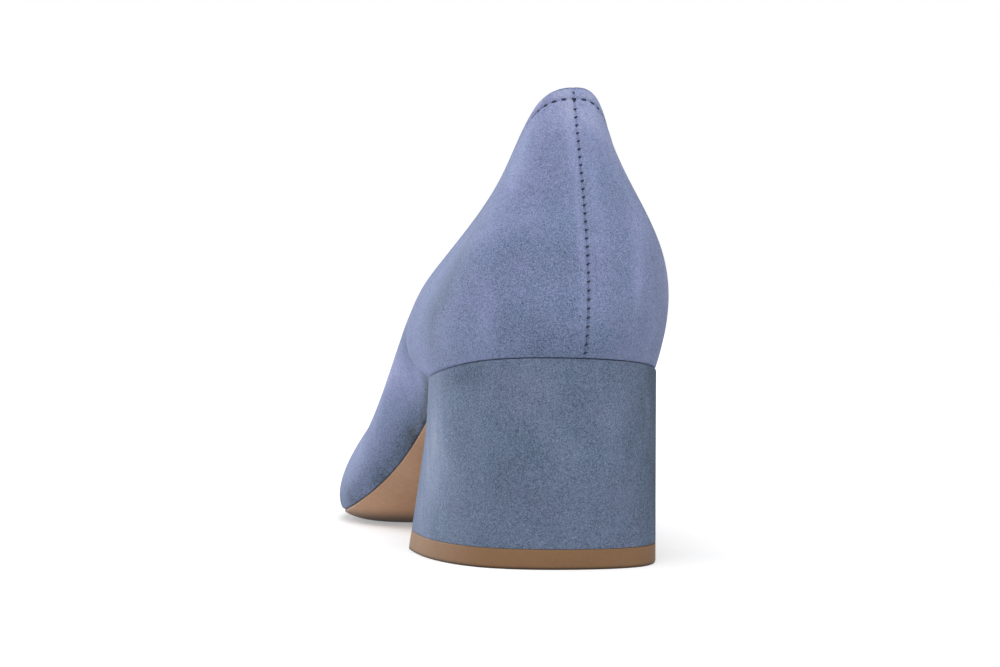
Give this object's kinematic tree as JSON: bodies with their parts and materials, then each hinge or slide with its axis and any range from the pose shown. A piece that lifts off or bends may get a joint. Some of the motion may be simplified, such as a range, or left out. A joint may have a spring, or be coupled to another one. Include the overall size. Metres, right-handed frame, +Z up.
{
  "type": "suede pump",
  "caption": "Low-cut women's pump for the left foot, with a suede upper, a rounded toe, a covered block heel and a thin leather sole.",
  "frame": {"origin": "middle of the shoe's footprint, on the floor", "axes": "+X to the wearer's right, which is the inner side of this left shoe, +Y from heel to toe, +Z up"},
  "size_m": [0.0764, 0.2422, 0.1065],
  "materials": {
    "upper_suede": "blue suede with a fine brushed nap",
    "heel_suede": "blue suede drawn tight over the heel block",
    "sole_leather": "smooth brown leather, low sheen",
    "top_piece_rubber": "matt brown",
    "insole_sock": "smooth beige lining leather"
  },
  "bodies": {
    "root": {"upper": "upper_suede", "insole": "insole_sock", "outsole": "sole_leather", "heel": "heel_suede", "top_piece": "top_piece_rubber"}
  },
  "joints": []
}
